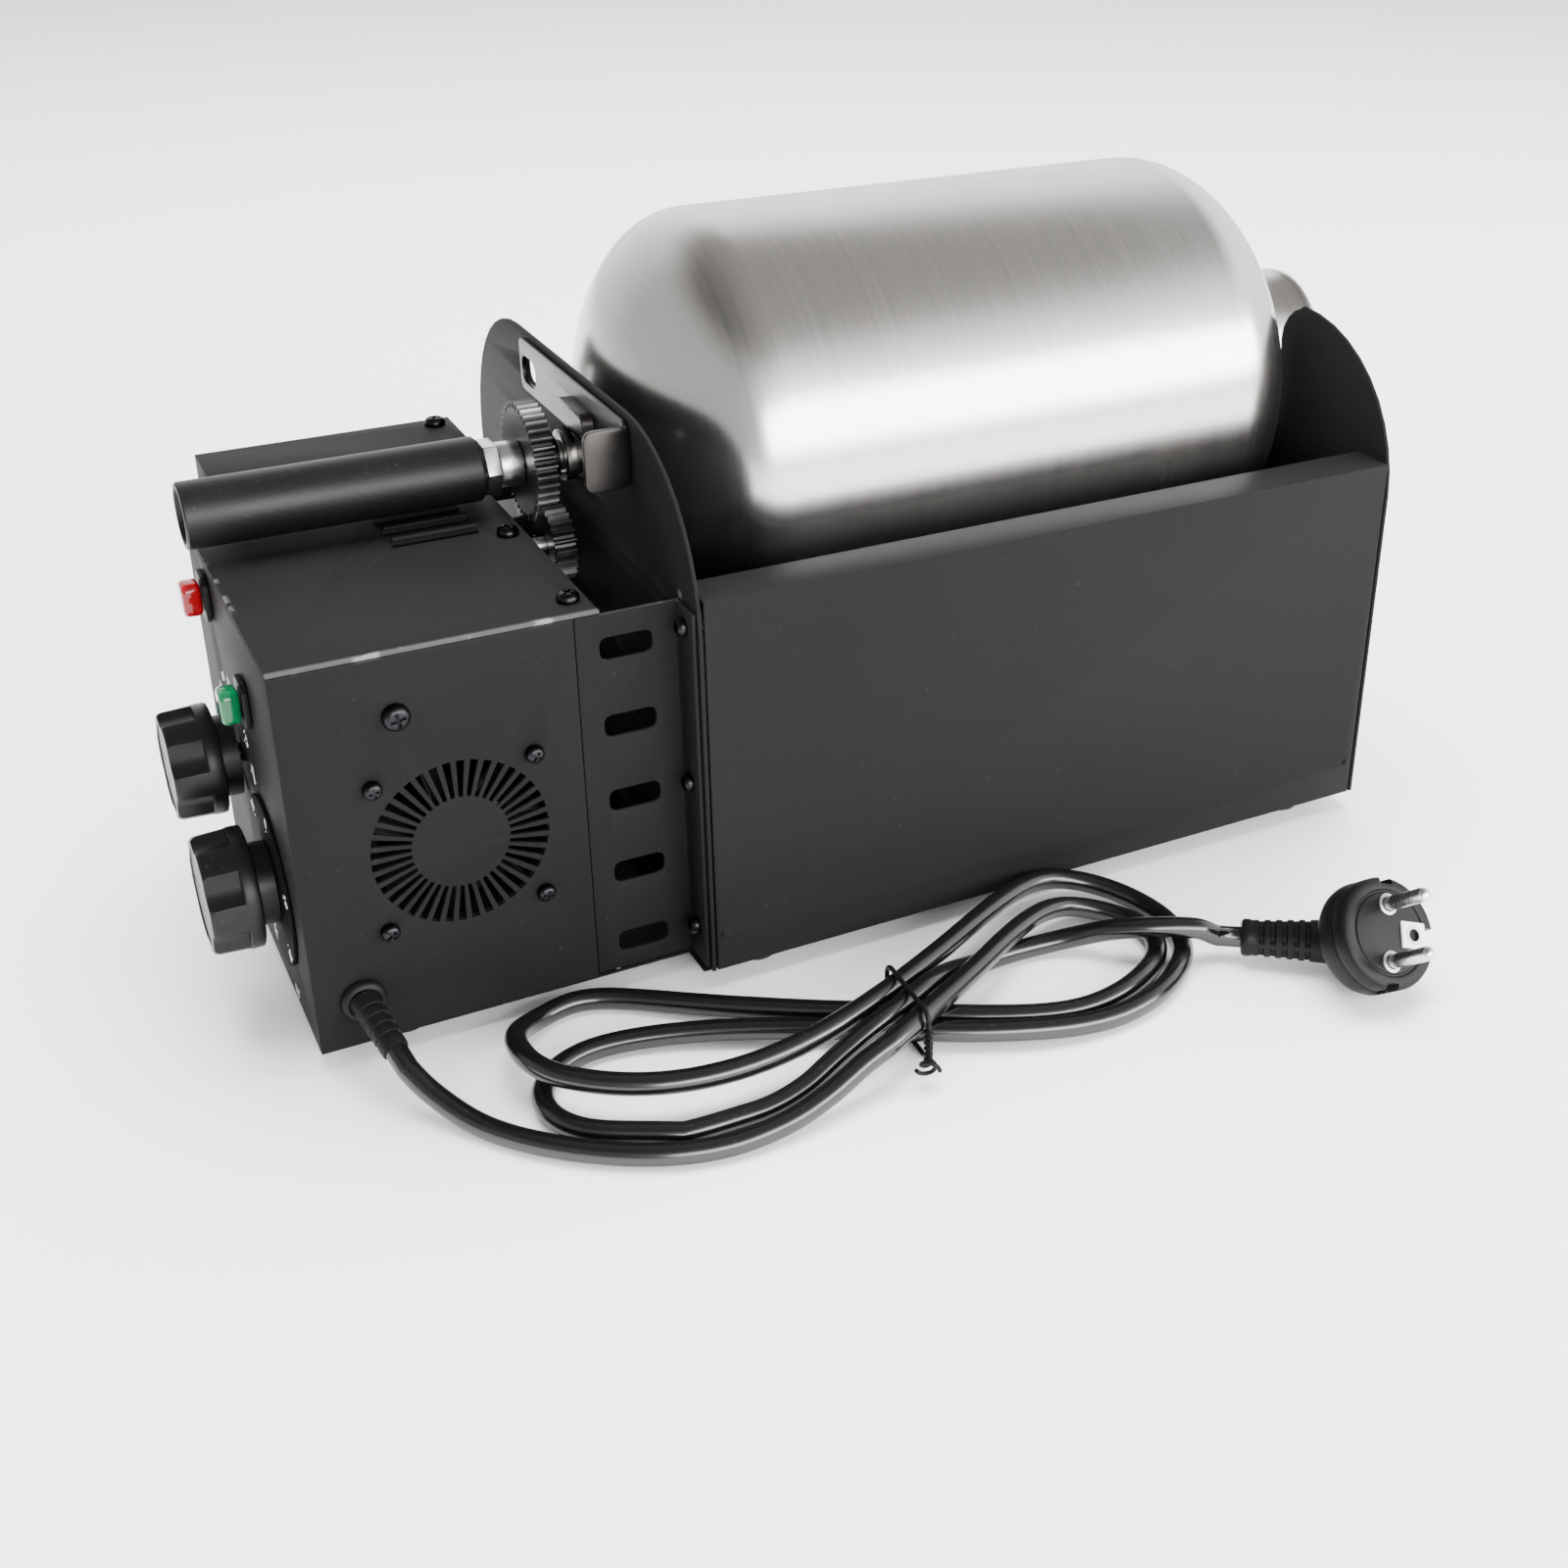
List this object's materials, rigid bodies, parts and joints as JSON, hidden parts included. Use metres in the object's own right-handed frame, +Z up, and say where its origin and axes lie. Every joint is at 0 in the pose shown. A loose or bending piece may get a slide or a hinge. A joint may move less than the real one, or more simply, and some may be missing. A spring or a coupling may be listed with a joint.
{
  "type": "home coffee bean roaster",
  "caption": "Open-trough drum roaster: a geared steel drum with an open neck turns over electric heaters beside a black sheet-metal control box with knobs, lamps, fan and mains lead.",
  "frame": {"origin": "on the surface under the feet, below the middle of the part's bounding box without its free cord", "axes": "+X along the drum's axis from the control face to the drum's mouth, +Y from the front to the back, +Z up"},
  "size_m": [0.449, 0.3489, 0.2305],
  "materials": {
    "black_sheet": "fine-textured black powder coat, worn",
    "dark_panel": "satin black coat, worn",
    "drum_steel": "stainless steel brushed round the drum",
    "bright_steel": "bright steel",
    "gear_steel": "dark oiled steel",
    "zinc_sheet": "zinc-coated sheet",
    "handle_black": "matt black coat",
    "knob_black": "glossy moulded black",
    "plastic_black": "satin moulded black",
    "lamp_red": "clear red lens",
    "lamp_green": "clear green lens",
    "rubber_black": "matt black rubber",
    "cord_black": "glossy black cord sheath",
    "heater_glass": "milky quartz tube with ceramic ends",
    "brass": "dull brass",
    "motor_tin": "dull tin plate",
    "insert_white": "white moulding"
  },
  "bodies": {
    "chassis": {"base_pan": "black_sheet", "control_box_shell": "black_sheet", "cord_gland": "rubber_black", "cord_hank": "cord_black", "cord_lead": "cord_black", "cord_tail": "cord_black", "cord_tie": "plastic_black", "drive_wall": "zinc_sheet", "fan_frame": "plastic_black", "foot_box_front": "rubber_black", "foot_box_rear": "rubber_black", "foot_front_left": "rubber_black", "foot_front_right": "rubber_black", "foot_rear_left": "rubber_black", "foot_rear_right": "rubber_black", "front_bracket": "black_sheet", "front_panel": "dark_panel", "gear_motor": "motor_tin", "heat_lamp": "plastic_black", "heat_lamp_lens": "lamp_red", "heat_reflector": "zinc_sheet", "heater_front": "heater_glass", "heater_rear": "heater_glass", "latch_screw": "bright_steel", "left_end_plate": "black_sheet", "neck_support": "bright_steel", "plug_body": "plastic_black", "plug_earth_insert": "insert_white", "plug_pin_lower": "bright_steel", "plug_pin_upper": "bright_steel", "power_lamp": "plastic_black", "power_lamp_lens": "lamp_green", "rear_bracket": "black_sheet", "rear_housing": "black_sheet", "rear_panel": "dark_panel", "right_end_plate": "black_sheet", "roller_pin_front": "bright_steel", "roller_pin_rear": "bright_steel", "shaft_bush": "brass", "terminal_block": "insert_white", "thermostat_body": "plastic_black", "thermostat_bulb": "brass", "timer_body": "plastic_black", "timer_dial": "plastic_black", "top_cover": "black_sheet"},
    "drum": {"drum_shell": "drum_steel", "drum_hub": "bright_steel", "drum_shaft": "bright_steel", "drum_gear": "gear_steel", "drive_collar": "gear_steel", "shaft_nut": "bright_steel", "drum_handle": "handle_black"},
    "motor_drive": {"motor_gear": "gear_steel", "motor_shaft": "bright_steel"},
    "front_roller": {"neck_roller_front": "brass"},
    "rear_roller": {"neck_roller_rear": "brass"},
    "fan": {"fan_rotor": "plastic_black"},
    "timer": {"timer_knob": "knob_black"},
    "thermostat": {"thermostat_knob": "knob_black"},
    "latch": {"shaft_latch": "bright_steel"}
  },
  "joints": [
    {"name": "drum_spin", "type": "hinge", "parent": "chassis", "child": "drum", "pos_m": [-0.09445, 0, 0.1525], "axis": [1, 0, 0], "continuous": true},
    {"name": "motor_spin", "type": "hinge", "parent": "chassis", "child": "motor_drive", "pos_m": [-0.09445, -0.02227, 0.13023], "axis": [1, 0, 0], "continuous": true},
    {"name": "front_roller_spin", "type": "hinge", "parent": "chassis", "child": "front_roller", "pos_m": [0.20055, -0.02496, 0.12754], "axis": [1, 0, 0], "continuous": true},
    {"name": "rear_roller_spin", "type": "hinge", "parent": "chassis", "child": "rear_roller", "pos_m": [0.20055, 0.02496, 0.12754], "axis": [1, 0, 0], "continuous": true},
    {"name": "fan_spin", "type": "hinge", "parent": "chassis", "child": "fan", "pos_m": [-0.15095, -0.0955, 0.0699], "axis": [0, 1, 0], "continuous": true},
    {"name": "timer_turn", "type": "hinge", "parent": "chassis", "child": "timer", "pos_m": [-0.20875, -0.0545, 0.047], "axis": [1, 0, 0], "range_deg": [0, 330]},
    {"name": "thermostat_turn", "type": "hinge", "parent": "chassis", "child": "thermostat", "pos_m": [-0.20875, -0.017, 0.075], "axis": [1, 0, 0], "range_deg": [0, 270]},
    {"name": "latch_lift", "type": "hinge", "parent": "chassis", "child": "latch", "pos_m": [-0.07755, -0.047, 0.171], "axis": [1, 0, 0], "range_deg": [0, 30]}
  ],
  "couplings": [
    {"joint": "motor_spin", "follows": "drum_spin", "ratio": -1.625},
    {"joint": "front_roller_spin", "follows": "drum_spin", "ratio": -3.375},
    {"joint": "rear_roller_spin", "follows": "drum_spin", "ratio": -3.375}
  ]
}
